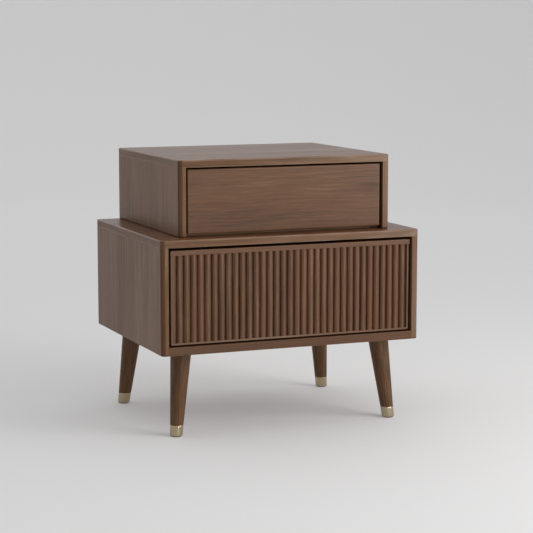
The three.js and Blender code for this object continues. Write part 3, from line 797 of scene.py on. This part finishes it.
def addReeds():
    # Half-round reeds side by side: middle - r cos t across and r sin t forwards, counted from the
    # right-hand end, so that the one at the left is cut narrower. The section is carried upwards.
    low, high = boxOf("lower_drawer_fluted_sheet")
    pitch = fronts["reedPitch"] * mm
    radius = pitch / 2 - fronts["reedGroove"] * mm / 2
    root = low[1] + radius
    width = high[0] - low[0]
    steps = fronts["reedSteps"]
    start = fronts["reedStart"] * mm
    count = math.ceil((width - start) / pitch)
    t = np.linspace(0, np.pi, steps + 1)
    middle = start + (np.arange(count) + 0.5) * pitch
    fromRight = (middle[:, None] - radius * np.cos(t)).ravel()
    bulge = np.tile(radius * np.sin(t), count)
    owner = np.repeat(np.arange(count), steps + 1)
    keep = fromRight < width - 0.05 * mm
    x = np.concatenate([[high[0]], high[0] - fromRight[keep], [low[0]]])
    y = np.concatenate([[root], root - bulge[keep], [root - np.interp(width, fromRight, bulge)]])
    reed = np.concatenate([[0], owner[keep], [count - 1]])
    front = np.stack([x, y], axis=-1)[::-1]
    reed = reed[::-1]
    n = len(front)
    back = np.stack([front[:, 0], np.full(n, high[1])], axis=-1)[::-1]
    outline = np.concatenate([front, back])
    hold = 0.4 * mm
    between = np.linspace(low[2] + hold, high[2] - hold, 6)
    levels = np.array([low[2], *between, high[2]])
    rings, total = len(levels), 2 * n
    points = np.empty((rings, total, 3))
    points[..., :2] = outline
    points[..., 2] = levels[:, None]
    flat = points.reshape(-1, 3)
    quads = ringQuads(rings, total)
    ring, step = cornerPairs(rings, total)
    stretch = np.linalg.norm(np.diff(np.vstack([outline, outline[:1]]), axis=0), axis=1)
    length = np.concatenate([[0], np.cumsum(stretch)])
    grain = np.stack([levels[ring], length[step], 0 * step], axis=-1)
    j = np.arange(n - 1)
    capLow = np.stack([j + 1, j, total - 1 - j, total - 2 - j], axis=-1)
    capHigh = capLow[:, ::-1] + (rings - 1) * total
    caps = np.concatenate([capLow, capHigh])
    grain = np.concatenate([grain, flat[caps.ravel()][:, [2, 0, 1]]]) + chance.uniform(0, 9, 3)
    tints = chance.uniform(0, fronts["reedTint"], reed.max() + 1)
    tint = np.tile(np.concatenate([tints[reed], tints[reed][::-1]]), rings)
    standIn("lowerDrawerReeds", ["lower_drawer_fluted_sheet"], flat, quads.tolist() + caps.tolist(), grain,
            np.zeros(len(flat)), "walnutReeds", tint=tint)


addUpperFront()
addLowerFront()
print("fronts done")


# Drawer boxes
drawerBox = {
    "topRound": 2.0,
    "softEdge": 0.5,
    "groove": 6.0,
    "grooveGap": 0.4,
    "backFoot": 0.4,
    "backEdges": (0.6, 0.6),
    "floorEdge": 0.3,
}


def addDrawerBox(key):
    boardLow, boardHigh = boxOf(f"{key}_drawer_bottom")
    for side in ("left", "right"):
        node = f"{key}_drawer_{side}_side"
        low, high = boxOf(node)
        d, gap = drawerBox["groove"] * mm, drawerBox["grooveGap"] * mm
        inner, cut = (high[0], high[0] - d) if side == "left" else (low[0], low[0] + d)
        z0, z1 = boardLow[2], boardHigh[2] + gap
        r, s = drawerBox["topRound"] * mm, drawerBox["softEdge"] * mm
        # the outline runs counter-clockwise with z to the right and x upwards
        if side == "left":
            corners = [(low[2], low[0]), (high[2], low[0]), (high[2], high[0]), (z1, inner), (z1, cut),
                       (z0, cut), (z0, inner), (low[2], high[0])]
            radii = [s, r, r, s, s / 2, s / 2, s, s]
        else:
            corners = [(low[2], high[0]), (low[2], low[0]), (z0, inner), (z0, cut), (z1, cut), (z1, inner),
                       (high[2], low[0]), (high[2], high[0])]
            radii = [s, s, s, s / 2, s / 2, s, r, r]
        shape = carriedShape(filleted(corners, radii), "y", low[1], high[1])
        standIn(f"{key}Drawer{side.title()}Side", [node], *shape, "boxWood")
    foot, top = drawerBox["backFoot"], drawerBox["topRound"]
    corners = (foot, top, top, foot)
    shape = boardShape(*boxOf(f"{key}_drawer_back"), "y", corners, drawerBox["backEdges"], "x", "round")
    standIn(f"{key}DrawerBack", [f"{key}_drawer_back"], *shape, "boxWood")
    e = drawerBox["floorEdge"]
    shape = boardShape(boardLow, boardHigh, "z", (e,) * 4, (e, e), "x", "round")
    standIn(f"{key}DrawerFloor", [f"{key}_drawer_bottom"], *shape, "boxWood")


for key in ("upper", "lower"):
    addDrawerBox(key)
print("drawer boxes done")


# Runners and screws
runner = {"sheet": 1.2, "webRound": 2.4, "innerRound": 1.2, "lipRound": 0.5}
screw = {"radius": 3.4, "height": 1.1, "segments": 20, "panelEdge": 9.0, "runnerEnd": 22.0}


def addRunner(key, side, part):
    # A channel rolled from sheet: its web stands on the outer side, except in the part that the drawer
    # carries, and its two lips point the other way.
    node = f"{key}_{side}_runner_{part}"
    low, high = boxOf(node)
    t, w, i, lip = (runner[name] * mm for name in ("sheet", "webRound", "innerRound", "lipRound"))
    webAtHigh = (side == "right") != (part == "drawer")
    web, reach = (high[0], low[0]) if webAtHigh else (low[0], high[0])
    inside = web + math.copysign(t, reach - web)
    bottom, top = low[2], high[2]
    corners = [(bottom, web), (bottom, reach), (bottom + t, reach), (bottom + t, inside), (top - t, inside),
               (top - t, reach), (top, reach), (top, web)]
    radii = [w, lip, lip, i, i, lip, lip, w]
    if not webAtHigh:
        corners, radii = corners[::-1], radii[::-1]
    shape = carriedShape(filleted(corners, radii), "y", low[1], high[1])
    standIn(f"{key}{side.title()}Runner{part.title()}", [node], *shape, "zinc")


def screwHeads(places, axis, towards):
    # Pan heads: a profile of radius and height turned about an axis through each place. The last ring lies
    # at the foot of the driver's recess.
    r, h, n = screw["radius"] * mm, screw["height"] * mm, screw["segments"]
    profile = np.array([(0.6 * r, -0.2 * h), (r, -0.2 * h), (r, 0.25 * h), (0.8 * r, 0.8 * h), (0.4 * r, h),
                        (0.33 * r, 0.95 * h), (0.12 * r, 0.3 * h)])
    t = np.linspace(0, 2 * np.pi, n, endpoint=False) * towards
    ring = np.stack([np.cos(t), np.sin(t)], axis=-1)
    flat = profile[:, :1, None] * ring
    first, second, third = axis, (axis + 1) % 3, (axis + 2) % 3
    one = np.empty((len(profile), n, 3))
    one[..., first] = towards * profile[:, 1:]
    one[..., second] = flat[..., 0]
    one[..., third] = flat[..., 1]
    one = one.reshape(-1, 3)
    places = np.asarray(places)
    points = (places[:, None] + one).reshape(-1, 3)
    quads = (ringQuads(len(profile), n) + np.arange(len(places))[:, None, None] * len(one)).reshape(-1, 4)
    ends = np.stack([np.arange(n)[::-1], np.arange(n) + (len(profile) - 1) * n])
    caps = (ends + np.arange(len(places))[:, None, None] * len(one)).reshape(-1, n)
    corners = np.concatenate([quads.ravel(), caps.ravel()])
    grain = (points[corners] - places[corners // len(one)])[:, [second, third, first]]
    return points, quads.tolist() + caps.tolist(), grain, np.zeros(len(points))


def addScrews(key):
    # along the edges of the back panel, and in the channel that the drawer carries
    low, high = boxOf(f"{key}_back_panel")
    e = screw["panelEdge"] * mm
    across = np.linspace(low[0] + e, high[0] - e, 4 if key == "lower" else 3)
    places = [(x, high[1], z) for x in across for z in (low[2] + e, high[2] - e)]
    makePiece(f"{key}BackScrews", *screwHeads(places, 1, 1), "zinc", [f"{key}_back_panel"])
    for side, towards in (("left", -1), ("right", 1)):
        node = f"{key}_{side}_runner_drawer"
        low, high = boxOf(node)
        web = (high[0] if side == "left" else low[0]) + towards * runner["sheet"] * mm
        run = np.linspace(low[1] + screw["runnerEnd"] * mm, high[1] - screw["runnerEnd"] * mm, 4)
        places = [(web, y, (low[2] + high[2]) / 2) for y in run]
        makePiece(f"{key}{side.title()}RunnerScrews", *screwHeads(places, 0, towards), "zinc", [node])


for key in ("upper", "lower"):
    for side in ("left", "right"):
        for part in ("cabinet", "middle", "drawer"):
            addRunner(key, side, part)
    addScrews(key)
print("runners and screws done")


# CAD nodes that stay
plainFinishes = {
    "steel": metalMaterial("bright steel", zinc, ownPlace=False),
    "black_plastic": plasticMaterial("black latch plastic", blackPlastic),
}
for name, node in frame["nodes"].items():
    if node.hide_render:
        continue
    chosen = "black_plastic" if "latch_housing" in name or "plunger" in name else "steel"
    node.data.materials.clear()
    node.data.materials.append(plainFinishes[chosen])
print("kept CAD nodes:", sum(not n.hide_render for n in frame["nodes"].values()))


# Stage, light and camera
studio = {
    "flat": 4.8,
    "sweep": 1.9,
    "wall": 0.1,
    "floor": (0.715, 0.711, 0.715),
    "paper": (0.85, 0.15),  # roughness and specular
    "glow": 0.125,
    "rings": (0.3, 1.5, 3.0),
    "segments": 96,
    "ambient": (1.0, 1.0, 1.0),
    "ambientStrength": 0.69,
    "dimSide": (-0.72, -0.69, -0.1),
    "dimmed": 0.8,
}
cameraSetup = {"place": (-1.4847, -3.7042, 0.8755), "turn": -22.251, "pitch": 7.76, "lens": 119.88}
lights = [  # name, place, aim, width and height, watts, colour
    ("key", (1.75, -1.95, 1.1), (0, 0, 0.3), (2.0, 2.0), 40, (1.0, 0.985, 0.965)),
    ("wall", (1.2, 3.4, 3.2), (2.6, 6.3, 0.5), (1.5, 1.5), 7.4, (1.0, 1.0, 1.0)),
    ("strip", (0.38, -3.0, 0.18), (0, 0, 0.18), (0.13, 0.34), 4, (1.0, 0.97, 0.93)),  # a line on the ferrules
]


def addStage():
    # The floor's profile turned about the upright axis: flat, then a quarter circle, then a low wall.
    t = np.linspace(0, np.pi / 2, 17)
    flat, sweep = studio["flat"], studio["sweep"]
    bend = np.stack([flat + sweep * np.sin(t), sweep - sweep * np.cos(t)], -1)
    level = [(r, 0) for r in studio["rings"]]
    profile = np.concatenate([level, bend, [(flat + sweep, sweep + studio["wall"])]])
    n = studio["segments"]
    t = np.linspace(0, 2 * np.pi, n, endpoint=False)
    points = np.stack([profile[:, :1] * np.cos(t), profile[:, :1] * np.sin(t),
                       np.broadcast_to(profile[:, 1:], (len(profile), n))], -1).reshape(-1, 3)
    faces = ringQuads(len(profile), n)[:, ::-1].tolist() + [list(range(n))]
    mesh = bpy.data.meshes.new("stage")
    mesh.from_pydata(points.tolist(), [], faces)
    mesh.shade_smooth()
    material, _, shader = newMaterial("stage paper", studio["floor"], studio["paper"][0])
    shader.inputs["Specular IOR Level"].default_value = studio["paper"][1]
    # painted light: the paper glows a little, though it is no lamp, which lifts the shadows on the floor
    shader.inputs["Emission Color"].default_value = (1, 1, 1, 1)
    shader.inputs["Emission Strength"].default_value = studio["glow"]
    mesh.materials.append(material)
    stage = bpy.data.objects.new("stage", mesh)
    bpy.context.scene.collection.objects.link(stage)


def addLights():
    world = bpy.data.worlds.new("studio")
    world.use_nodes = True
    background = world.node_tree.nodes["Background"]
    # the surroundings are dimmer towards one side: strength = full x (1 - dimmed x facing)
    tree = world.node_tree
    direction = tree.nodes.new("ShaderNodeTexCoord").outputs["Generated"]
    facing = addNode(tree, "ShaderNodeVectorMath", {"operation": "DOT_PRODUCT"}, i0=direction,
                     i1=studio["dimSide"]).outputs["Value"]
    full = studio["ambientStrength"]
    tree.links.new(spread(tree, facing, 0.3, 0.9, full, full * (1 - studio["dimmed"])), background.inputs[1])
    background.inputs[0].default_value = (*studio["ambient"], 1)
    bpy.context.scene.world = world
    for name, place, aim, size, watts, colour in lights:
        lamp = bpy.data.lights.new(name, "AREA")
        lamp.shape = "ELLIPSE"
        lamp.size, lamp.size_y = size
        lamp.energy = watts
        lamp.color = colour
        light = bpy.data.objects.new(name, lamp)
        light.location = place
        light.rotation_euler = (Vector(aim) - Vector(place)).to_track_quat("-Z", "Y").to_euler()
        light.visible_camera = False
        bpy.context.scene.collection.objects.link(light)


def addCamera():
    camera = bpy.data.objects.new("camera", bpy.data.cameras.new("camera"))
    camera.data.lens = cameraSetup["lens"]
    camera.data.sensor_width = 36
    camera.location = cameraSetup["place"]
    camera.rotation_euler = (math.radians(90 - cameraSetup["pitch"]), 0, math.radians(cameraSetup["turn"]))
    bpy.context.scene.collection.objects.link(camera)
    bpy.context.scene.camera = camera


addStage()
addLights()
addCamera()
bpy.context.scene.view_settings.view_transform = "Standard"
print("stage, light and camera done")
